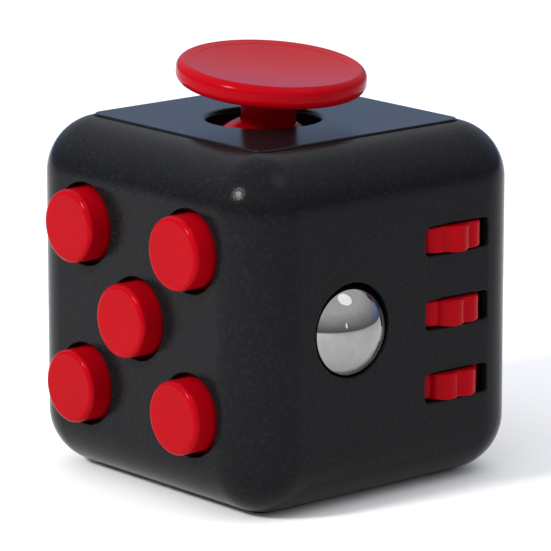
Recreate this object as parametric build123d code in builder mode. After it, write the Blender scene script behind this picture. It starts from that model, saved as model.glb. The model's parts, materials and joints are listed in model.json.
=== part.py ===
"""Fidget cube: a 33 mm cube with one small mechanism behind each face.

Frame: origin at the centre of the underside, +Z up. -Y is the button face, +X the wheel and
ball face, +Z the thumb stick face, +Y the rocker face, -X the dial face.
All sizes are in millimetres.
"""

import os
from math import cos, radians, sin, sqrt, tan

from build123d import *

# ---- driving dimensions -------------------------------------------------------------------

# casing
cube_side = 33.0
cube_edge_round = 5.35
wall = 1.8
rim_round = 0.15
rim_zone = 0.6
inner_corner_round = 3.5
plate_side = 24.2
plate_corner_round = 1.2
plate_thickness = 1.8
plate_proud = 0.1
plate_seam = 0.13
plate_edge_round = 0.12
ledge_width = 1.4
ledge_thickness = 1.4
peg_radius = 0.6
peg_length = 1.2
dish_mouth_radius = 9.4
dish_depth = 1.9
dish_backing = 1.4

# general clearances and fasteners
fit_gap = 0.05
loose_gap = 0.3
screw_radius = 0.6
screw_head_radius = 1.1
screw_head_height = 0.7
screw_grip = 2.0
boss_radius = 1.4

# buttons
button_pitch = 15.0
button_radius = 3.4
button_proud = 2.0
button_edge_round = 0.45
button_hole_gap = 0.4
button_flange_width = 0.75
button_flange_thickness = 0.7
button_back_gap = 0.1
button_stub_radius = 1.6
button_stub_length = 0.5
button_travel = 1.0
membrane_thickness = 0.4
membrane_base_radius = 2.7
membrane_tip_radius = 1.9
membrane_skin = 0.35
back_plate_side = 22.4
back_plate_thickness = 1.2
back_screw_offset = 9.0
snap_dome_radius = 2.0
snap_dome_thickness = 0.3

# wheels
wheel_center_y = 7.66
wheel_pitch = 6.84
wheel_radius = 4.25
wheel_proud = 1.0
wheel_thickness = 2.4
wheel_lobes = 8
wheel_lobe_radius = 1.55
wheel_valley_round = 0.2
wheel_edge_round = 0.2
wheel_turns = (40.5, 31.5, 21.5)
wheel_relief_gap = 0.3
slot_width = 7.6
slot_height = 2.68
slot_corner_round = 0.4
axle_radius = 0.75
bracket_ear_radius = 1.25
bracket_ear_thickness = 1.1
bracket_ear_gap = 0.25
bracket_back_thickness = 0.8
bracket_back_width = 4.6
wheel_spring_thickness = 0.25
wheel_spring_gap = 0.2
wheel_spring_rise = 0.35
wheel_spring_width = 2.6

# ball
ball_radius = 5.0
ball_center_y = -5.05
ball_center_drop = 0.05
ball_depth = 3.1
ball_hole_radius = 4.3
ball_hole_rise = 0.2
ball_socket_gap = 0.08
ball_bore_gap = 0.1
seat_ring_radius = 4.3
seat_ring_front = 3.1
seat_ring_width = 1.3
plunger_radius = 4.7
plunger_front = 2.7
plunger_floor = 1.1
plunger_hole_radius = 2.6
plunger_travel = 1.0
ball_spring_length = 2.7
ball_spring_radius = 3.6
ball_spring_wire = 0.3
ball_spring_turns = 3
ball_housing_wall = 0.45
ball_housing_floor = 1.0
ball_screw_offset = 7.2
ball_boss_length = 2.5
lug_thickness = 1.3

# thumb stick
stick_y = -1.4
stick_pivot_drop = 6.2
stick_lean = 6.2
stick_hole_radius = 5.25
stick_hole_round = 0.5
stick_disc_radius = 8.74
stick_disc_height = 11.5
stick_disc_thickness = 2.15
stick_disc_edge_round = 0.85
stick_lip_width = 1.6
stick_lip_step = 0.18
stick_dish_depth = 0.4
stick_stem_radius = 2.57
stick_nub_radius = 0.6
stick_nub_height = 0.35
stick_nub_inset = 0.1
stick_nub_angle = 42.0
dome_radius = 6.5
dome_wall = 1.0
dome_rim_height = 2.6
post_radius = 1.15
post_length = 3.0
hub_radius = 2.2
hub_drop = 1.4
cross_pin_radius = 0.6
ring_inner_radius = 3.3
ring_outer_radius = 4.9
ring_height = 1.8
trunnion_radius = 0.7
holder_inner_radius = 6.9
holder_wall = 0.8
holder_flange_thickness = 1.2
holder_flange_gap = 1.0
holder_floor_drop = 3.7
holder_floor_thickness = 1.0
holder_screw_offset = 6.3
stick_spring_radius = 1.9
stick_spring_wire = 0.25
stick_spring_turns = 2

# rocker
rocker_width = 10.0
rocker_half_length = 6.3
rocker_tilt = 12.0
rocker_proud = 0.4
rocker_pivot_depth = 3.2
rocker_skirt = 1.2
rocker_keel_length = 3.0
rocker_keel_width = 1.2
rocker_keel_root = 4.0
rocker_edge_round = 0.4
rocker_pin_radius = 0.8
rocker_opening_gap = 0.3
rocker_swing_gap = 1.3
rocker_housing_wall = 1.2
rocker_housing_depth = 5.5
rocker_housing_floor = 1.0
rocker_spring_thickness = 0.2
rocker_spring_width = 4.4
rocker_screw_offset = 10.6
rocker_boss_length = 2.0

# dial
dial_radius = 9.0
dial_thickness = 2.0
dial_recess_depth = 0.9
dial_recess_gap = 0.3
dial_floor_gap = 0.1
dial_edge_round = 0.5
dial_hollow_radius = 3.0
dial_hollow_offset = 4.9
dial_hollow_depth = 0.9
dial_boss_radius = 2.85
dial_boss_extra = 0.3
dial_washer_radius = 4.4
dial_washer_thickness = 0.5
dial_screw_radius = 0.9
dial_screw_head_radius = 2.0
dial_screw_head_height = 0.8
dial_screw_length = 2.5

# ---- worked-out places ---------------------------------------------------------------------

half = cube_side / 2
inner_half = half - wall
middle_z = plate_proud + half
body_top = plate_proud + cube_side
plate_top = body_top + plate_proud
plate_under = plate_top - plate_thickness
ledge_inner_side = plate_side - 2 * ledge_width
seat_side = plate_side + 2 * plate_seam
hollow_top = plate_under - ledge_thickness
hollow_bottom = plate_thickness + ledge_thickness
peg_offset = plate_side / 2 - ledge_width / 2 - 0.1

face_offsets = [(x, z) for x in (-1, 1) for z in (-1, 1)]
button_places = [(0.0, middle_z)]
button_places += [(x * button_pitch / 2, middle_z + z * button_pitch / 2) for x, z in face_offsets]
flange_back = inner_half - button_back_gap - button_flange_thickness
stub_back = flange_back - button_stub_length
membrane_front = stub_back - button_travel - 0.1
membrane_back = membrane_front - membrane_thickness
back_plate_back = membrane_back - back_plate_thickness
cross_offsets = [(1, 0), (-1, 0), (0, 1), (0, -1)]
back_screw_places = [(x * back_screw_offset, middle_z + z * back_screw_offset) for x, z in cross_offsets]
snap_dome_places = [button_places[0], button_places[1], button_places[4]]

wheel_axis_x = half + wheel_proud - wheel_radius
wheel_heights = [middle_z + wheel_pitch, middle_z, middle_z - wheel_pitch]
wheel_names = ["gear_top", "gear_middle", "gear_bottom"]
end_ear_start = wheel_pitch + wheel_thickness / 2 + bracket_ear_gap
axle_half_length = end_ear_start + bracket_ear_thickness + 0.4
bracket_screw_offset = end_ear_start + bracket_ear_thickness + boss_radius + 0.4
bracket_screw_places = [(wheel_center_y, middle_z + s * bracket_screw_offset) for s in (1, -1)]
bracket_front = wheel_axis_x - wheel_radius - wheel_spring_gap - wheel_spring_rise
bracket_back = bracket_front - bracket_back_thickness

ball_z = middle_z - ball_center_drop
ball_x = half - ball_depth
plunger_face = ball_x - plunger_front
seat_face = ball_x - seat_ring_front
seat_back = seat_face - seat_ring_width
plunger_back = seat_back - plunger_floor
ball_spring_back = plunger_back - ball_spring_length
ball_housing_back = ball_spring_back - ball_housing_floor
ball_bore_back = plunger_face - plunger_travel
ball_bore_radius = ball_radius + ball_bore_gap
ball_housing_radius = ball_bore_radius + ball_housing_wall
ball_place = [(ball_center_y, ball_z)]
ball_screw_places = [(ball_center_y, ball_z + s * ball_screw_offset) for s in (1, -1)]
ball_boss_end = inner_half - ball_boss_length

pivot = Vector(0, stick_y, plate_top - stick_pivot_drop)
lean = radians(stick_lean)
stick_axis = Axis(pivot, (sin(lean), 0, cos(lean)))
stick_profile = Plane(origin=pivot, x_dir=(cos(lean), 0, -sin(lean)), z_dir=(0, -1, 0))
stick_level = Plane(origin=pivot, x_dir=(cos(lean), 0, -sin(lean)), z_dir=(sin(lean), 0, cos(lean)))
pin_plane = Plane(origin=pivot, x_dir=(0, 1, 0), z_dir=(cos(lean), 0, -sin(lean)))
trunnion_plane = Plane(origin=pivot, x_dir=(1, 0, 0), z_dir=(0, -1, 0))
disc_under = stick_disc_height - stick_disc_thickness
flange_top = plate_under - holder_flange_gap
flange_under = flange_top - holder_flange_thickness
holder_floor_top = pivot.Z - holder_floor_drop
holder_outer_radius = holder_inner_radius + holder_wall
holder_screw_places = [
    (x * holder_screw_offset, stick_y + z * holder_screw_offset) for x, z in face_offsets
]
trunnion_length = holder_outer_radius - 0.1

rocker_pivot_y = half - rocker_pivot_depth
rocker_profile = Plane(
    origin=(0, rocker_pivot_y, middle_z),
    x_dir=(0, cos(radians(rocker_tilt)), sin(radians(rocker_tilt))),
    z_dir=(1, 0, 0),
)
rocker_outside = rocker_pivot_depth + rocker_proud
rocker_wing = rocker_outside + rocker_half_length * tan(radians(rocker_tilt))
rocker_opening = (rocker_width + 2 * rocker_opening_gap, 2 * (rocker_half_length + rocker_swing_gap))
rocker_floor_y = inner_half - rocker_housing_depth
rocker_screw_places = [(0, middle_z + s * rocker_screw_offset) for s in (1, -1)]
rocker_boss_end = inner_half - rocker_boss_length
keel_reach = sqrt(rocker_keel_length**2 + (rocker_keel_width / 2) ** 2)

dial_back = half - dial_recess_depth + dial_floor_gap
dial_front = dial_back + dial_thickness
dial_boss_back = inner_half - dial_boss_extra


# ---- repeated shapes -----------------------------------------------------------------------


def rods(plane, places, radius, length, mode=Mode.ADD):
    """Add or cut a round rod at each place on the plane, along its normal."""
    with BuildSketch(plane) as outline:
        with Locations(*places):
            Circle(radius)
    extrude(outline.sketch, amount=length, mode=mode)


def bars(plane, places, width, height, length, mode=Mode.ADD):
    """Add or cut a square bar at each place on the plane, along its normal."""
    with BuildSketch(plane) as outline:
        with Locations(*places):
            Rectangle(width, height)
    extrude(outline.sketch, amount=length, mode=mode)


def cone(plane, place, base_radius, tip_radius, length, mode=Mode.ADD):
    """Add or cut a truncated cone standing on the plane."""
    with BuildSketch(plane) as base:
        with Locations(place):
            Circle(base_radius)
    with BuildSketch(plane.offset(length)) as tip:
        with Locations(place):
            Circle(tip_radius)
    loft([base.sketch.face(), tip.sketch.face()], ruled=True, mode=mode)


def screws(plane, places, clamped):
    """Pan-head screws: shanks along the plane's normal through what they clamp, heads behind it."""
    rods(plane, places, screw_head_radius, -screw_head_height)
    rods(plane, places, screw_radius, clamped + screw_grip)


def coil(start, axis, radius, wire, turns, length):
    """A round-wire compression spring that fills the length along the axis."""
    rise = length - 2 * wire
    with BuildLine() as path:
        Helix(pitch=rise / turns, height=rise, radius=radius, center=start, direction=axis)
    with BuildSketch(Plane(origin=path.line @ 0, z_dir=path.line % 0)) as section:
        Circle(wire)
    sweep(section.sketch, path=path.line)


def click_plane(distance):
    """Plane parallel to the button face, its normal pointing out of that face."""
    return Plane.XZ.offset(distance)


def roll_plane(distance):
    """Plane parallel to the wheel and ball face, its normal pointing out of that face."""
    return Plane.YZ.offset(distance)


def flip_plane(distance):
    """Plane parallel to the rocker face, its normal pointing out of that face."""
    return Plane(origin=(0, distance, 0), x_dir=(-1, 0, 0), z_dir=(0, 1, 0))


def spin_plane(distance):
    """Plane parallel to the dial face, its normal pointing out of that face."""
    return Plane(origin=(-distance, 0, 0), x_dir=(0, -1, 0), z_dir=(-1, 0, 0))


def round_rims(shell, outward):
    """Round the outer rims of the openings that the last cut made in a face of the shell."""
    rims = [edge for edge in shell.edges(Select.LAST) if edge.center().dot(Vector(outward)) > half - rim_zone]
    fillet(rims, rim_round)


pieces = {}


# ---- casing --------------------------------------------------------------------------------

with BuildPart() as body_shell:
    with Locations((0, 0, middle_z)):
        Box(cube_side, cube_side, cube_side)
    fillet(body_shell.edges(), cube_edge_round)

    # the hollow, the two ledges and the two square seats
    with BuildSketch(Plane.XY.offset(hollow_bottom)):
        RectangleRounded(2 * inner_half, 2 * inner_half, inner_corner_round)
    extrude(amount=hollow_top - hollow_bottom, mode=Mode.SUBTRACT)
    with BuildSketch(Plane.XY):
        Rectangle(ledge_inner_side, ledge_inner_side)
    extrude(amount=plate_top, mode=Mode.SUBTRACT)
    for seat_start, seat_height in ((0, plate_thickness), (plate_under, plate_thickness)):
        with BuildSketch(Plane.XY.offset(seat_start)):
            RectangleRounded(seat_side, seat_side, plate_corner_round + plate_seam)
        extrude(amount=seat_height, mode=Mode.SUBTRACT)
    with BuildSketch(Plane.XY):
        with GridLocations(2 * peg_offset, 2 * peg_offset, 2, 2):
            Circle(peg_radius + fit_gap)
    extrude(amount=plate_top, mode=Mode.SUBTRACT)

    # screw bosses behind the faces, each with its pilot hole
    rods(click_plane(inner_half), back_screw_places, boss_radius, membrane_back - inner_half)
    rods(roll_plane(inner_half), bracket_screw_places, boss_radius,
         bracket_front - inner_half)
    rods(roll_plane(inner_half), ball_screw_places, boss_radius, -ball_boss_length)
    rods(flip_plane(inner_half), rocker_screw_places, boss_radius, -rocker_boss_length)
    pilot = screw_radius + fit_gap
    rods(click_plane(membrane_back), back_screw_places, pilot, screw_grip + 0.2, Mode.SUBTRACT)
    rods(roll_plane(bracket_front), bracket_screw_places, pilot,
         screw_grip + 0.2, Mode.SUBTRACT)
    rods(roll_plane(ball_boss_end), ball_screw_places, pilot, screw_grip + 0.2, Mode.SUBTRACT)
    rods(flip_plane(rocker_boss_end), rocker_screw_places, pilot, screw_grip + 0.2, Mode.SUBTRACT)

    # button holes
    rods(click_plane(inner_half), button_places, button_radius + button_hole_gap, 2 * wall, Mode.SUBTRACT)
    round_rims(body_shell, (0, -1, 0))

    # wheel slots, relieved inside for the widest part of each wheel
    for height in wheel_heights:
        with BuildSketch(roll_plane(inner_half)):
            with Locations((wheel_center_y, height)):
                RectangleRounded(slot_width, slot_height, slot_corner_round)
        extrude(amount=2 * wall, mode=Mode.SUBTRACT)
        round_rims(body_shell, (1, 0, 0))
        rods(Plane.XY.offset(height - slot_height / 2), [(wheel_axis_x, wheel_center_y)],
             wheel_radius + wheel_relief_gap, slot_height, Mode.SUBTRACT)

    # ball hole, smaller than the ball, and the round socket behind its rim
    rods(roll_plane(inner_half), [(ball_center_y, ball_z + ball_hole_rise)], ball_hole_radius, 2 * wall,
         Mode.SUBTRACT)
    round_rims(body_shell, (1, 0, 0))
    with Locations((ball_x, ball_center_y, ball_z)):
        Sphere(ball_radius + ball_socket_gap, rotation=(0, 0, 180), mode=Mode.SUBTRACT)

    # rocker opening, dial recess and dial bearing hole
    bars(flip_plane(inner_half), [(0, middle_z)], *rocker_opening, 2 * wall, Mode.SUBTRACT)
    round_rims(body_shell, (0, 1, 0))
    rods(spin_plane(half), [(0, middle_z)], dial_radius + dial_recess_gap, -dial_recess_depth,
         Mode.SUBTRACT)
    round_rims(body_shell, (-1, 0, 0))
    rods(spin_plane(half), [(0, middle_z)], dial_boss_radius + fit_gap, -2 * wall, Mode.SUBTRACT)
pieces["body_shell"] = body_shell

with BuildPart() as top_plate:
    with BuildSketch(Plane.XY.offset(plate_under)):
        RectangleRounded(plate_side, plate_side, plate_corner_round)
        with Locations((0, stick_y)):
            Circle(stick_hole_radius, mode=Mode.SUBTRACT)
    extrude(amount=plate_thickness)
    top_edges = top_plate.faces().sort_by(Axis.Z)[-1].edges()
    fillet(top_edges.filter_by(GeomType.CIRCLE).sort_by(SortBy.RADIUS)[-1], stick_hole_round)
    rim_edges = top_plate.faces().sort_by(Axis.Z)[-1].outer_wire().edges()
    fillet(rim_edges, plate_edge_round)
    with BuildSketch(Plane.XY.offset(plate_under)):
        with GridLocations(2 * peg_offset, 2 * peg_offset, 2, 2):
            Circle(peg_radius)
    extrude(amount=-peg_length)
    rods(Plane.XY.offset(flange_top), holder_screw_places, boss_radius, holder_flange_gap)
    rods(Plane.XY.offset(flange_top), holder_screw_places, pilot, screw_grip + 0.1, Mode.SUBTRACT)
pieces["top_plate"] = top_plate

with BuildPart() as bottom_plate:
    with BuildSketch(Plane.XY):
        RectangleRounded(plate_side, plate_side, plate_corner_round)
    extrude(amount=plate_thickness)
    fillet(bottom_plate.faces().sort_by(Axis.Z)[0].edges(), plate_edge_round)
    rods(Plane.XY.offset(plate_thickness), [(0, 0)], dish_mouth_radius + 0.4,
         dish_depth + dish_backing - plate_thickness)
    thumb_curve = (dish_mouth_radius**2 + dish_depth**2) / (2 * dish_depth)
    with Locations((0, 0, dish_depth - thumb_curve)):
        Sphere(thumb_curve, mode=Mode.SUBTRACT)
    with BuildSketch(Plane.XY.offset(plate_thickness)):
        with GridLocations(2 * peg_offset, 2 * peg_offset, 2, 2):
            Circle(peg_radius)
    extrude(amount=peg_length)
pieces["bottom_plate"] = bottom_plate

# ---- click face ----------------------------------------------------------------------------

for index, place in enumerate(button_places, start=1):
    with BuildPart() as button:
        rods(click_plane(flange_back), [place], button_radius, half + button_proud - flange_back)
        fillet(button.faces().sort_by(Axis.Y)[0].edges(), button_edge_round)
        rods(click_plane(flange_back), [place], button_radius + button_flange_width,
             button_flange_thickness)
        rods(click_plane(stub_back), [place], button_stub_radius, button_stub_length)
    pieces[f"button_{index}"] = button

with BuildPart() as button_membrane:
    bars(click_plane(membrane_back), [(0, middle_z)], back_plate_side, back_plate_side,
         membrane_thickness)
    dome_height = stub_back - membrane_front - fit_gap
    hollow_height = membrane_thickness + dome_height - membrane_skin
    for place in button_places:
        cone(click_plane(membrane_front), place, membrane_base_radius, membrane_tip_radius, dome_height)
    for place in button_places:
        cone(click_plane(membrane_back), place, membrane_base_radius - membrane_skin,
             membrane_tip_radius - membrane_skin, hollow_height, Mode.SUBTRACT)
    rods(click_plane(membrane_back), back_screw_places, boss_radius + loose_gap, 2 * membrane_thickness,
         Mode.SUBTRACT)
pieces["button_membrane"] = button_membrane

with BuildPart() as button_back_plate:
    bars(click_plane(back_plate_back), [(0, middle_z)], back_plate_side, back_plate_side,
         back_plate_thickness)
    rods(click_plane(membrane_back - snap_dome_thickness), snap_dome_places,
         snap_dome_radius + fit_gap, snap_dome_thickness, Mode.SUBTRACT)
    rods(click_plane(back_plate_back), back_screw_places, pilot, back_plate_thickness, Mode.SUBTRACT)
    rods(click_plane(back_plate_back), back_screw_places, screw_head_radius + fit_gap,
         screw_head_height, Mode.SUBTRACT)
pieces["button_back_plate"] = button_back_plate

with BuildPart() as snap_domes:
    rods(click_plane(membrane_back - snap_dome_thickness), snap_dome_places, snap_dome_radius,
         snap_dome_thickness)
pieces["snap_domes"] = snap_domes

with BuildPart() as back_plate_screws:
    head_seat = back_plate_back + screw_head_height
    screws(click_plane(head_seat), back_screw_places, membrane_back - head_seat)
pieces["back_plate_screws"] = back_plate_screws

# ---- roll face: wheels ---------------------------------------------------------------------

lobe_reach = wheel_radius - wheel_lobe_radius
for name, height, turn in zip(wheel_names, wheel_heights, wheel_turns):
    with BuildPart() as wheel:
        with BuildSketch(Plane.XY.offset(height - wheel_thickness / 2)) as lobed_outline:
            with Locations((wheel_axis_x, wheel_center_y)):
                Circle(lobe_reach)
                with PolarLocations(lobe_reach, wheel_lobes, start_angle=turn):
                    Circle(wheel_lobe_radius)
            fillet(lobed_outline.vertices(), wheel_valley_round)
        extrude(amount=wheel_thickness)
        end_faces = wheel.faces().filter_by(Axis.Z)
        fillet(end_faces.edges(), wheel_edge_round)
        rods(Plane.XY.offset(height - wheel_thickness / 2), [(wheel_axis_x, wheel_center_y)],
             axle_radius + fit_gap, wheel_thickness, Mode.SUBTRACT)
    pieces[name] = wheel

with BuildPart() as gear_axle:
    rods(Plane.XY.offset(middle_z - axle_half_length), [(wheel_axis_x, wheel_center_y)], axle_radius,
         2 * axle_half_length)
pieces["gear_axle"] = gear_axle

with BuildPart() as gear_bracket:
    bracket_height = 2 * (bracket_screw_offset + boss_radius)
    bars(roll_plane(bracket_back), [(wheel_center_y, middle_z)], bracket_back_width, bracket_height,
         bracket_back_thickness)
    ear_starts = [end_ear_start, -end_ear_start - bracket_ear_thickness]
    ear_starts += [s * wheel_pitch / 2 - bracket_ear_thickness / 2 for s in (1, -1)]
    for ear_start in ear_starts:
        with BuildSketch(Plane.XY.offset(middle_z + ear_start)):
            ear_length = wheel_axis_x - bracket_front
            with Locations((wheel_axis_x - ear_length / 2, wheel_center_y)):
                Rectangle(ear_length, 2 * bracket_ear_radius)
            with Locations((wheel_axis_x, wheel_center_y)):
                Circle(bracket_ear_radius)
        extrude(amount=bracket_ear_thickness)
    rods(Plane.XY.offset(middle_z - axle_half_length), [(wheel_axis_x, wheel_center_y)], axle_radius,
         2 * axle_half_length, Mode.SUBTRACT)
    rods(roll_plane(bracket_back), bracket_screw_places, pilot,
         bracket_back_thickness, Mode.SUBTRACT)
pieces["gear_bracket"] = gear_bracket

with BuildPart() as gear_detent_spring:
    finger_tip = wheel_axis_x - wheel_radius - wheel_spring_gap
    for height in wheel_heights:
        with BuildSketch(Plane.XY.offset(height - wheel_spring_width / 4)):
            with BuildLine():
                Polyline((bracket_front, wheel_center_y - bracket_back_width / 2),
                         (bracket_front + wheel_spring_thickness, wheel_center_y - bracket_back_width / 2),
                         (finger_tip, wheel_center_y),
                         (bracket_front + wheel_spring_thickness, wheel_center_y + bracket_back_width / 2),
                         (bracket_front, wheel_center_y + bracket_back_width / 2),
                         (bracket_front, wheel_center_y + bracket_back_width / 4),
                         (finger_tip - wheel_spring_thickness, wheel_center_y),
                         (bracket_front, wheel_center_y - bracket_back_width / 4),
                         close=True)
            make_face()
        extrude(amount=wheel_spring_width / 2)
pieces["gear_detent_springs"] = gear_detent_spring

with BuildPart() as gear_screws:
    screws(roll_plane(bracket_back), bracket_screw_places, bracket_back_thickness)
pieces["gear_screws"] = gear_screws

# ---- roll face: ball -----------------------------------------------------------------------

with BuildPart() as steel_ball:
    with Locations((ball_x, ball_center_y, ball_z)):
        Sphere(ball_radius)
pieces["steel_ball"] = steel_ball

with BuildPart() as ball_seat_ring:
    rods(roll_plane(seat_back), ball_place, seat_ring_radius, seat_ring_width)
    with Locations((ball_x, ball_center_y, ball_z)):
        Sphere(ball_radius + fit_gap, mode=Mode.SUBTRACT)
    rods(roll_plane(seat_back), ball_place, plunger_hole_radius, seat_ring_width, Mode.SUBTRACT)
pieces["ball_seat_ring"] = ball_seat_ring

with BuildPart() as ball_plunger:
    rods(roll_plane(plunger_back), ball_place, plunger_radius, plunger_face - plunger_back)
    rods(roll_plane(seat_back), ball_place, seat_ring_radius + fit_gap, plunger_face - seat_back,
         Mode.SUBTRACT)
    rods(roll_plane(plunger_back), ball_place, plunger_hole_radius, plunger_floor, Mode.SUBTRACT)
pieces["ball_plunger"] = ball_plunger

with BuildPart() as ball_spring:
    coil((ball_spring_back + ball_spring_wire + 0.02, ball_center_y, ball_z), (1, 0, 0), ball_spring_radius,
         ball_spring_wire, ball_spring_turns, ball_spring_length - 0.1)
pieces["ball_spring"] = ball_spring

with BuildPart() as ball_housing:
    rods(roll_plane(ball_housing_back), ball_place, ball_housing_radius,
         inner_half - ball_housing_back)
    lug_height = 2 * ball_screw_offset
    bars(roll_plane(ball_boss_end), [(ball_center_y, ball_z)], 2 * boss_radius, lug_height, -lug_thickness)
    rods(roll_plane(ball_boss_end), ball_screw_places, boss_radius, -lug_thickness)
    rods(roll_plane(ball_spring_back), ball_place, plunger_radius + fit_gap,
         ball_bore_back - ball_spring_back, Mode.SUBTRACT)
    rods(roll_plane(ball_bore_back), ball_place, ball_bore_radius, inner_half - ball_bore_back,
         Mode.SUBTRACT)
    rods(roll_plane(ball_boss_end), ball_screw_places, pilot, -lug_thickness, Mode.SUBTRACT)
pieces["ball_housing"] = ball_housing

with BuildPart() as ball_housing_screws:
    screws(roll_plane(ball_boss_end - lug_thickness), ball_screw_places, lug_thickness)
pieces["ball_housing_screws"] = ball_housing_screws

# ---- glide face ----------------------------------------------------------------------------

with BuildPart() as joystick_cap:
    with BuildSketch(stick_profile) as cap_profile:
        with BuildLine():
            Polyline((0, 0), (stick_stem_radius, 0), (stick_stem_radius, disc_under),
                     (stick_disc_radius, disc_under), (stick_disc_radius, stick_disc_height),
                     (0, stick_disc_height), close=True)
        make_face()
        fillet(cap_profile.vertices().group_by(Axis.X)[-1], stick_disc_edge_round)
    revolve(axis=stick_axis)
    lip_radius = stick_disc_radius - stick_lip_width
    rods(stick_level.offset(stick_disc_height), [(0, 0)], lip_radius, -stick_lip_step, Mode.SUBTRACT)
    dish_radius = lip_radius - stick_lip_step
    dish_curve = (dish_radius**2 + stick_dish_depth**2) / (2 * stick_dish_depth)
    dish_center = stick_disc_height - stick_lip_step - stick_dish_depth + dish_curve
    with Locations(stick_level.offset(dish_center)):
        Sphere(dish_curve, mode=Mode.SUBTRACT)
    with Locations(stick_level):
        Sphere(dome_radius, mode=Mode.SUBTRACT)
    rods(stick_level, [(0, 0)], post_radius + fit_gap, dome_radius + post_length, Mode.SUBTRACT)
    nub_reach = stick_disc_radius - stick_disc_edge_round - stick_nub_radius - stick_nub_inset
    nub_angle = radians(stick_nub_angle)
    rods(stick_level.offset(disc_under), [(nub_reach * cos(nub_angle), nub_reach * sin(nub_angle))],
         stick_nub_radius, -stick_nub_height)
pieces["joystick_cap"] = joystick_cap

with BuildPart() as joystick_dome:
    with Locations(stick_level):
        Sphere(dome_radius)
        Sphere(dome_radius - dome_wall, mode=Mode.SUBTRACT)
    split(bisect_by=stick_level.offset(dome_rim_height), keep=Keep.TOP)
    rods(stick_level.offset(-hub_drop), [(0, 0)], hub_radius, hub_drop + dome_radius - dome_wall / 2)
    rods(stick_level.offset(dome_radius - dome_wall), [(0, 0)], post_radius, dome_wall + post_length - 0.2)
    rods(pin_plane.offset(-ring_outer_radius), [(0, 0)], cross_pin_radius + fit_gap,
         2 * ring_outer_radius, Mode.SUBTRACT)
pieces["joystick_dome"] = joystick_dome

with BuildPart() as gimbal_ring:
    rods(stick_level.offset(-ring_height / 2), [(0, 0)], ring_outer_radius, ring_height)
    rods(trunnion_plane.offset(-trunnion_length), [(0, 0)], trunnion_radius, 2 * trunnion_length)
    rods(stick_level.offset(-ring_height / 2), [(0, 0)], ring_inner_radius, ring_height, Mode.SUBTRACT)
    rods(pin_plane.offset(-ring_outer_radius), [(0, 0)], cross_pin_radius, 2 * ring_outer_radius,
         Mode.SUBTRACT)
pieces["gimbal_ring"] = gimbal_ring

with BuildPart() as gimbal_pin:
    pin_half_length = ring_outer_radius - 0.1
    rods(pin_plane.offset(-pin_half_length), [(0, 0)], cross_pin_radius, 2 * pin_half_length)
pieces["gimbal_pin"] = gimbal_pin

with BuildPart() as gimbal_holder:
    holder_bottom = holder_floor_top - holder_floor_thickness
    rods(Plane.XY.offset(holder_bottom), [(0, stick_y)], holder_outer_radius, flange_top - holder_bottom)
    flange_side = 2 * (holder_screw_offset + boss_radius)
    bars(Plane.XY.offset(flange_under), [(0, stick_y)], flange_side, flange_side,
         holder_flange_thickness)
    rods(Plane.XY.offset(holder_floor_top), [(0, stick_y)], holder_inner_radius, flange_top - holder_floor_top,
         Mode.SUBTRACT)
    rods(trunnion_plane.offset(-holder_outer_radius), [(0, 0)], trunnion_radius + fit_gap,
         2 * holder_outer_radius, Mode.SUBTRACT)
    rods(Plane.XY.offset(flange_under), holder_screw_places, pilot, holder_flange_thickness, Mode.SUBTRACT)
pieces["gimbal_holder"] = gimbal_holder

with BuildPart() as joystick_spring:
    spring_room = pivot.Z - hub_drop - hub_radius * sin(lean) - holder_floor_top
    coil((0, stick_y, holder_floor_top + stick_spring_wire + 0.02), (0, 0, 1), stick_spring_radius,
         stick_spring_wire, stick_spring_turns, spring_room - 0.2)
pieces["joystick_spring"] = joystick_spring

with BuildPart() as holder_screws:
    screws(Plane.XY.offset(flange_under), holder_screw_places, holder_flange_thickness)
pieces["holder_screws"] = holder_screws

# ---- flip face -----------------------------------------------------------------------------

with BuildPart() as rocker:
    with BuildSketch(rocker_profile.offset(-rocker_width / 2)):
        with BuildLine():
            Polyline((rocker_outside, 0), (rocker_wing, rocker_half_length),
                     (-rocker_skirt, rocker_half_length), (-rocker_skirt, rocker_keel_root / 2),
                     (-rocker_keel_length, rocker_keel_width / 2),
                     (-rocker_keel_length, -rocker_keel_width / 2),
                     (-rocker_skirt, -rocker_keel_root / 2), (-rocker_skirt, -rocker_half_length),
                     (rocker_wing, -rocker_half_length), close=True)
        make_face()
    extrude(amount=rocker_width)
    fillet(rocker.edges().group_by(Axis.Y)[-1], rocker_edge_round)
    rods(roll_plane(-rocker_width / 2), [(rocker_pivot_y, middle_z)], rocker_pin_radius + fit_gap,
         rocker_width, Mode.SUBTRACT)
pieces["rocker"] = rocker

with BuildPart() as rocker_housing:
    housing_width = rocker_opening[0] + 2 * rocker_housing_wall
    housing_height = rocker_opening[1] + 2 * rocker_housing_wall
    bars(flip_plane(inner_half), [(0, middle_z)], housing_width, housing_height,
         -rocker_housing_depth - rocker_housing_floor)
    lug_span = 2 * (rocker_screw_offset + boss_radius)
    bars(flip_plane(rocker_boss_end), [(0, middle_z)], 2 * boss_radius, lug_span, -lug_thickness)
    bars(flip_plane(inner_half), [(0, middle_z)], *rocker_opening, -rocker_housing_depth, Mode.SUBTRACT)
    rods(roll_plane(-housing_width / 2), [(rocker_pivot_y, middle_z)], rocker_pin_radius, housing_width,
         Mode.SUBTRACT)
    rods(flip_plane(rocker_boss_end), rocker_screw_places, pilot, -lug_thickness, Mode.SUBTRACT)
pieces["rocker_housing"] = rocker_housing

with BuildPart() as rocker_pin:
    rods(roll_plane(-housing_width / 2), [(rocker_pivot_y, middle_z)], rocker_pin_radius, housing_width)
pieces["rocker_pin"] = rocker_pin

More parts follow.
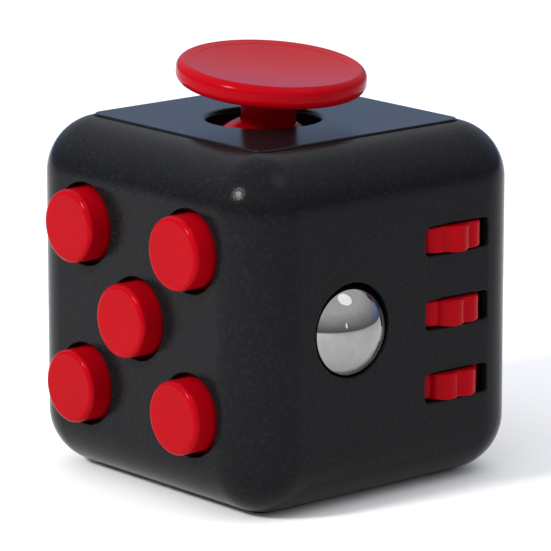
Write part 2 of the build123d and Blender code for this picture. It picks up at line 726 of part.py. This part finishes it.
with BuildPart() as rocker_spring:
    strip_top = rocker_pivot_y - keel_reach - 0.15
    strip_length = rocker_opening[1] - 2.0
    bars(flip_plane(strip_top), [(0, middle_z)], rocker_spring_width, strip_length,
         -rocker_spring_thickness)
    leg_offset = (strip_length - rocker_spring_thickness) / 2
    bars(flip_plane(strip_top), [(0, middle_z + s * leg_offset) for s in (1, -1)], rocker_spring_width,
         rocker_spring_thickness, rocker_floor_y - strip_top)
pieces["rocker_spring"] = rocker_spring

with BuildPart() as rocker_screws:
    screws(flip_plane(rocker_boss_end - lug_thickness), rocker_screw_places, lug_thickness)
pieces["rocker_screws"] = rocker_screws

# ---- spin face -----------------------------------------------------------------------------

with BuildPart() as dial:
    rods(spin_plane(dial_front), [(0, middle_z)], dial_radius, -dial_thickness)
    fillet(dial.faces().sort_by(Axis.X)[0].edges(), dial_edge_round)
    rods(spin_plane(dial_front), [(0, middle_z + dial_hollow_offset)], dial_hollow_radius,
         -dial_hollow_depth, Mode.SUBTRACT)
    rods(spin_plane(dial_back), [(0, middle_z)], dial_boss_radius, dial_boss_back - dial_back)
    rods(spin_plane(dial_boss_back), [(0, middle_z)], dial_screw_radius + fit_gap, dial_screw_length,
         Mode.SUBTRACT)
pieces["dial"] = dial

with BuildPart() as dial_washer:
    rods(spin_plane(dial_boss_back), [(0, middle_z)], dial_washer_radius, -dial_washer_thickness)
    rods(spin_plane(dial_boss_back), [(0, middle_z)], dial_screw_radius + fit_gap,
         -dial_washer_thickness, Mode.SUBTRACT)
pieces["dial_washer"] = dial_washer

with BuildPart() as dial_screw:
    screw_seat = dial_boss_back - dial_washer_thickness
    rods(spin_plane(screw_seat), [(0, middle_z)], dial_screw_head_radius, -dial_screw_head_height)
    rods(spin_plane(screw_seat), [(0, middle_z)], dial_screw_radius,
         dial_washer_thickness + dial_screw_length - 0.1)
pieces["dial_screw"] = dial_screw

# ---- export --------------------------------------------------------------------------------

os.makedirs("parts", exist_ok=True)
for name, piece in pieces.items():
    piece.part.label = name
    export_step(piece.part, f"parts/{name}.step")
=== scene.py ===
"""Looks of the fidget cube: materials, camera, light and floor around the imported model."""
import json
from math import cos, radians, sin

import bpy
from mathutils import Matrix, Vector

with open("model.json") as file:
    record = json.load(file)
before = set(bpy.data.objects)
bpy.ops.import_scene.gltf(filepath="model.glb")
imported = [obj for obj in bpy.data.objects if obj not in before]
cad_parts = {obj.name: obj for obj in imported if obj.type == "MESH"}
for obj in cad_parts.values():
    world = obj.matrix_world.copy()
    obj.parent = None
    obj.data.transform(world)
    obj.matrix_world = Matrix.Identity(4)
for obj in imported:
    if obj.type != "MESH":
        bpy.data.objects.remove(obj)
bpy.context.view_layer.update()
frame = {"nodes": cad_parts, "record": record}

MM = 0.001

# ---- colours, in linear light ----------------------------------------------------------------

BLACK = (0.0050, 0.0052, 0.0062)
RED = (0.31, 0.0006, 0.0045)
BALL_STEEL = (0.29, 0.285, 0.28)
STEEL = (0.6, 0.59, 0.57)
SPRING = (0.55, 0.54, 0.52)
SILICONE = (0.48, 0.48, 0.45)
INNER = (0.02, 0.02, 0.022)
ACETAL = (0.78, 0.78, 0.74)
FLOOR = (0.93, 0.93, 0.93)
ROOM = (0.30, 0.29, 0.28)
BLUE_SKY = (0.14, 0.27, 0.54)
ZENITH = (1.12, 1.14, 1.18)
TO_BLUE_SIDE = (-0.76, 0.65, 0.0)

# ---- sizes of surface detail -----------------------------------------------------------------

GRAIN = 0.24 * MM
SPECK = 1.4 * GRAIN
SCUFF = 1.6 * MM
SCUFF_STRETCH = (1, 1, 0.12)
SCUFF_RELIEF = 0.004 * MM
FLOW = 9 * MM
METAL_SCRATCH = 0.5 * MM
METAL_BLOOM = 1.1 * MM
DUST = 1.2 * MM
SKIN_GRAIN = 0.2 * MM
SKIN_RELIEF = 0.01 * MM
MILKY_DEPTH = 1 * MM

# ---- where surface detail starts and ends in its noise, and how strong it is -----------------

PATCH_DARK, PATCH_LIGHT = 0.9, 1.12
PATCH_SMOOTH, PATCH_ROUGH = 0.92, 1.08
EDGE_START, EDGE_END = 0.56, 0.72
# Convex edges are lightened and polished: partly wear, partly a painted edge highlight.
EDGE_WEAR_AND_HIGHLIGHT, EDGE_WEAR_AND_HIGHLIGHT_TINT, EDGE_POLISH = 1.8, 0.25, 0.05
SCUFF_START, SCUFF_END = 0.62, 0.74
SCUFF_LIGHT, SCUFF_ROUGH, SCUFF_BUMP = 1.7, 0.5, 4
SPECK_START, SPECK_END = 0.5, 0.75
SPECK_LIGHT = 3.0
BLOOM_START, BLOOM_END = 0.3, 0.7
BLOOM_DARK, BLOOM_LIGHT = 0.8, 1.15
BLOOM_SMOOTH, BLOOM_ROUGH = 0.7, 1.6
DUST_DARK, DUST_LIGHT = 0.9, 1.1
DUST_SMOOTH, DUST_ROUGH = 0.45, 0.65
MILKINESS = 0.25
FLOOR_DARK = 0.985
FLOOR_GLOSS, FLOOR_ROUGHNESS = 0.1, 0.8

# ---- stage -----------------------------------------------------------------------------------

FLOOR_HALF = 1500 * MM
FLOOR_MOTTLE = 60 * MM
SKY_START, SKY_FULL = 0.05, 0.65
BLUE_START, BLUE_FULL = 0.0, 0.6
CUBE_CENTER = (0, 0, 16 * MM)
WHITE = (1.0, 1.0, 1.0)
WARM_WHITE = (1.0, 0.99, 0.97)

# name, place, size, power in watts, colour
LIGHTS = (
    ("key", (-22 * MM, -410 * MM, 301 * MM), (0.09, 0.09), 2.2, WARM_WHITE),
    ("overhead", (230 * MM, 100 * MM, 437 * MM), (0.22, 0.22), 0.2, WHITE),
    ("low_side", (490 * MM, -44 * MM, 118 * MM), (0.03, 0.09), 0.015, WHITE),
)

CAMERA_AZIMUTH = radians(49.46)
CAMERA_ELEVATION = radians(13.09)
CAMERA_DISTANCE = 403.6 * MM
CAMERA_AIM_HEIGHT = 16.5 * MM
CAMERA_SHIFT_RIGHT = 0.044 * MM
CAMERA_SHIFT_UP = 1.547 * MM
CAMERA_LENS = 284.7
CAMERA_SENSOR = 36.0
CAMERA_NEAR, CAMERA_FAR = 10 * MM, 10.0


# ---- node helpers ----------------------------------------------------------------------------


class Shader:
    """A node material built step by step; each step returns an output socket."""

    def __init__(self, name):
        self.material = bpy.data.materials.new(name)
        self.material.use_nodes = True
        self.nodes = self.material.node_tree.nodes
        self.links = self.material.node_tree.links
        self.surface = self.nodes["Principled BSDF"]
        self.place = self.add("ShaderNodeTexCoord").outputs["Object"]

    def add(self, kind, **settings):
        node = self.nodes.new(kind)
        for key, value in settings.items():
            setattr(node, key, value)
        return node

    def join(self, value, socket):
        if isinstance(value, bpy.types.NodeSocket):
            self.links.new(value, socket)
        else:
            socket.default_value = value

    def noise(self, size, detail=2.0, roughness=0.5, stretch=(1, 1, 1)):
        """Noise whose blobs are about as wide as size, in metres."""
        scale = self.add("ShaderNodeMapping")
        scale.inputs["Scale"].default_value = [s / size for s in stretch]
        self.links.new(self.place, scale.inputs["Vector"])
        node = self.add("ShaderNodeTexNoise")
        self.links.new(scale.outputs["Vector"], node.inputs["Vector"])
        node.inputs["Scale"].default_value = 1.0
        node.inputs["Detail"].default_value = detail
        node.inputs["Roughness"].default_value = roughness
        return node.outputs["Fac"]

    def ramp(self, value, low, high, start=0.0, end=1.0):
        """Maps value from start..end of its range to low..high, clamped."""
        node = self.add("ShaderNodeMapRange")
        self.join(value, node.inputs["Value"])
        node.inputs["From Min"].default_value = start
        node.inputs["From Max"].default_value = end
        node.inputs["To Min"].default_value = low
        node.inputs["To Max"].default_value = high
        return node.outputs["Result"]

    def math(self, operation, first, second=0.0):
        node = self.add("ShaderNodeMath", operation=operation)
        self.join(first, node.inputs[0])
        self.join(second, node.inputs[1])
        return node.outputs["Value"]

    def mix(self, factor, first, second):
        node = self.add("ShaderNodeMix", data_type="RGBA")
        self.join(factor, node.inputs["Factor"])
        self.join(first, node.inputs["A"])
        self.join(second, node.inputs["B"])
        return node.outputs["Result"]

    def edge_wear_and_highlight(self):
        """1 along convex edges, 0 on flats; marks the edges that are lightened partly as wear and partly
        as a painted edge highlight.
        """
        pointiness = self.add("ShaderNodeNewGeometry").outputs["Pointiness"]
        return self.ramp(pointiness, 0.0, 1.0, EDGE_START, EDGE_END)

    def bump(self, height, depth, strength=1.0, below=None):
        """Relief of the given depth in metres, on top of an earlier one."""
        node = self.add("ShaderNodeBump")
        node.inputs["Strength"].default_value = strength
        node.inputs["Distance"].default_value = depth
        self.join(height, node.inputs["Height"])
        if below is not None:
            self.links.new(below, node.inputs["Normal"])
        return node.outputs["Normal"]

    def finish(self, **inputs):
        for name, value in inputs.items():
            self.join(value, self.surface.inputs[name.replace("_", " ")])
        return self.material


def rgba(color, times=1.0):
    return (*[channel * times for channel in color], 1.0)


# ---- materials -------------------------------------------------------------------------------


def moulded_plastic(name, color, roughness, grain_depth, gloss, speckle, scuffing):
    """Injection-moulded plastic: fine spark-eroded grain, flow shading, scuffs, and worn edges lightened
    partly as wear and partly as a painted edge highlight.
    """
    shader = Shader(name)
    grain = shader.noise(GRAIN, detail=3.0, roughness=0.65)
    flow = shader.noise(FLOW, detail=3.0)
    marks = shader.noise(SCUFF, detail=6.0, roughness=0.7, stretch=SCUFF_STRETCH)
    scuffs = shader.ramp(marks, 0.0, 1.0, SCUFF_START, SCUFF_END)
    wear_and_highlight = shader.edge_wear_and_highlight()
    tone = shader.mix(flow, rgba(color, PATCH_DARK), rgba(color, PATCH_LIGHT))
    # Painted edge highlight mixed with wear: convex edges are lightened towards a brighter copy of the
    # colour.
    tone = shader.mix(shader.math("MULTIPLY", wear_and_highlight, EDGE_WEAR_AND_HIGHLIGHT_TINT), tone, rgba(color, EDGE_WEAR_AND_HIGHLIGHT))
    tone = shader.mix(shader.math("MULTIPLY", scuffs, scuffing), tone, rgba(color, SCUFF_LIGHT))
    specks = shader.ramp(shader.noise(SPECK), 0.0, speckle, SPECK_START, SPECK_END)
    tone = shader.mix(specks, tone, rgba(color, SPECK_LIGHT))
    rough = shader.ramp(flow, roughness * PATCH_SMOOTH, roughness * PATCH_ROUGH)
    rough = shader.math("ADD", rough, shader.math("MULTIPLY", scuffs, scuffing * SCUFF_ROUGH))
    rough = shader.math("SUBTRACT", rough, shader.math("MULTIPLY", wear_and_highlight, EDGE_POLISH))
    normal = shader.bump(grain, grain_depth)
    normal = shader.bump(scuffs, SCUFF_RELIEF, scuffing * SCUFF_BUMP, below=normal)
    shader.surface.inputs["Specular IOR Level"].default_value = gloss
    return shader.finish(Base_Color=tone, Roughness=rough, Normal=normal)


def metal(name, color, roughness, scratch_depth, stretch=(1, 1, 1)):
    """Bare metal with fine scratches and a faint bloom of fingerprints."""
    shader = Shader(name)
    scratches = shader.noise(METAL_SCRATCH, detail=5.0, roughness=0.75, stretch=stretch)
    bloom = shader.noise(METAL_BLOOM, detail=5.0, roughness=0.65)
    tone = shader.mix(bloom, rgba(color, BLOOM_DARK), rgba(color, BLOOM_LIGHT))
    rough = shader.ramp(bloom, roughness * BLOOM_SMOOTH, roughness * BLOOM_ROUGH,
                        BLOOM_START, BLOOM_END)
    normal = shader.bump(scratches, scratch_depth)
    return shader.finish(Base_Color=tone, Roughness=rough, Metallic=1.0, Normal=normal)


def silicone(name, color):
    """Soft milky silicone with a dusty matt skin."""
    shader = Shader(name)
    dust = shader.noise(DUST, detail=5.0, roughness=0.7)
    tone = shader.mix(dust, rgba(color, DUST_DARK), rgba(color, DUST_LIGHT))
    rough = shader.ramp(dust, DUST_SMOOTH, DUST_ROUGH)
    normal = shader.bump(shader.noise(SKIN_GRAIN), SKIN_RELIEF)
    shader.surface.inputs["Subsurface Weight"].default_value = MILKINESS
    shader.surface.inputs["Subsurface Scale"].default_value = MILKY_DEPTH
    return shader.finish(Base_Color=tone, Roughness=rough, Normal=normal)


def build_materials():
    return {
        "body": moulded_plastic("black_abs", BLACK, roughness=0.16, grain_depth=0.02 * MM, gloss=0.08,
                                speckle=0.5, scuffing=0.1),
        "red": moulded_plastic("red_abs", RED, roughness=0.15, grain_depth=0.003 * MM, gloss=0.04,
                               speckle=0.03, scuffing=0.02),
        "inner": moulded_plastic("inner_black_abs", INNER, roughness=0.5, grain_depth=0.01 * MM,
                                 gloss=0.3, speckle=0.3, scuffing=0.1),
        "seat": moulded_plastic("natural_acetal", ACETAL, roughness=0.4, grain_depth=0.003 * MM,
                                gloss=0.4, speckle=0.0, scuffing=0.02),
        "ball_chrome": metal("polished_ball_steel", BALL_STEEL, roughness=0.05,
                             scratch_depth=0.0006 * MM),
        "screw_steel": metal("plated_steel", STEEL, roughness=0.24, scratch_depth=0.003 * MM,
                             stretch=(1, 1, 0.3)),
        "spring_steel": metal("spring_steel", SPRING, roughness=0.3, scratch_depth=0.003 * MM),
        "silicone": silicone("silicone_rubber", SILICONE),
    }


def dress_frame(materials):
    """Gives every CAD node the material of its slot."""
    for part in frame["record"]["subparts"]:
        mesh = frame["nodes"][part["node"]].data
        mesh.materials.clear()
        mesh.materials.append(materials[part["material_slot"]])


# ---- floor, light and camera -----------------------------------------------------------------


def build_floor():
    shader = Shader("pale_floor")
    mottle = shader.noise(FLOOR_MOTTLE)
    tone = shader.mix(mottle, rgba(FLOOR, FLOOR_DARK), rgba(FLOOR))
    shader.surface.inputs["Specular IOR Level"].default_value = FLOOR_GLOSS
    shader.finish(Base_Color=tone, Roughness=FLOOR_ROUGHNESS)
    corners = [(x * FLOOR_HALF, y * FLOOR_HALF, 0) for x, y in ((-1, -1), (1, -1), (1, 1), (-1, 1))]
    mesh = bpy.data.meshes.new("floor")
    mesh.from_pydata(corners, [], [(0, 1, 2, 3)])
    mesh.materials.append(shader.material)
    floor = bpy.data.objects.new("floor", mesh)
    bpy.context.scene.collection.objects.link(floor)


def softbox(name, place, size, power, color):
    """A round area light at place, facing the cube."""
    data = bpy.data.lights.new(name, "AREA")
    data.shape = "ELLIPSE"
    data.size, data.size_y = size
    data.energy = power
    data.color = color
    light = bpy.data.objects.new(name, data)
    light.location = place
    light.rotation_euler = (Vector(CUBE_CENTER) - Vector(place)).to_track_quat("-Z", "Y").to_euler()
    bpy.context.scene.collection.objects.link(light)


def ramped(nodes, links, value, start, end):
    """0 where value is at start, 1 at end, clamped."""
    node = nodes.new("ShaderNodeMapRange")
    node.inputs["From Min"].default_value = start
    node.inputs["From Max"].default_value = end
    links.new(value, node.inputs["Value"])
    return node.outputs["Result"]


def blended(nodes, links, factor):
    """A colour blend driven by factor; its inputs A and B are left to the caller."""
    node = nodes.new("ShaderNodeMix")
    node.data_type = "RGBA"
    links.new(factor, node.inputs["Factor"])
    return node


def build_sky():
    """A bright dome over a horizon that is blue on the far side and room-grey on the near one."""
    world = bpy.data.worlds.new("soft_room")
    bpy.context.scene.world = world
    world.use_nodes = True
    nodes, links = world.node_tree.nodes, world.node_tree.links
    direction = nodes.new("ShaderNodeTexCoord").outputs["Generated"]
    height = nodes.new("ShaderNodeSeparateXYZ")
    links.new(direction, height.inputs["Vector"])
    around = nodes.new("ShaderNodeVectorMath")
    around.operation = "DOT_PRODUCT"
    around.inputs[1].default_value = TO_BLUE_SIDE
    links.new(direction, around.inputs[0])

    horizon = blended(nodes, links, ramped(nodes, links, around.outputs["Value"], BLUE_START, BLUE_FULL))
    horizon.inputs["A"].default_value = rgba(ROOM)
    horizon.inputs["B"].default_value = rgba(BLUE_SKY)
    dome = blended(nodes, links, ramped(nodes, links, height.outputs["Z"], SKY_START, SKY_FULL))
    dome.inputs["B"].default_value = rgba(ZENITH)
    links.new(horizon.outputs["Result"], dome.inputs["A"])
    links.new(dome.outputs["Result"], nodes["Background"].inputs["Color"])
    nodes["Background"].inputs["Strength"].default_value = 1.0


def build_camera():
    """The main view, round from the button face towards the ball face and a little above."""
    right = Vector((cos(CAMERA_AZIMUTH), sin(CAMERA_AZIMUTH), 0))
    back = Vector((sin(CAMERA_AZIMUTH) * cos(CAMERA_ELEVATION),
                   -cos(CAMERA_AZIMUTH) * cos(CAMERA_ELEVATION), sin(CAMERA_ELEVATION)))
    up = back.cross(right)
    aim = Vector((0, 0, CAMERA_AIM_HEIGHT)) + CAMERA_SHIFT_RIGHT * right + CAMERA_SHIFT_UP * up
    data = bpy.data.cameras.new("camera")
    data.sensor_width = CAMERA_SENSOR
    data.lens = CAMERA_LENS
    data.clip_start, data.clip_end = CAMERA_NEAR, CAMERA_FAR
    camera = bpy.data.objects.new("camera", data)
    camera.location = aim + back * CAMERA_DISTANCE
    camera.rotation_mode = "QUATERNION"
    camera.rotation_quaternion = (-back).to_track_quat("-Z", "Y")
    bpy.context.scene.collection.objects.link(camera)
    bpy.context.scene.camera = camera


dress_frame(build_materials())
build_floor()
build_sky()
for light in LIGHTS:
    softbox(*light)
build_camera()
bpy.context.scene.view_settings.view_transform = "Standard"
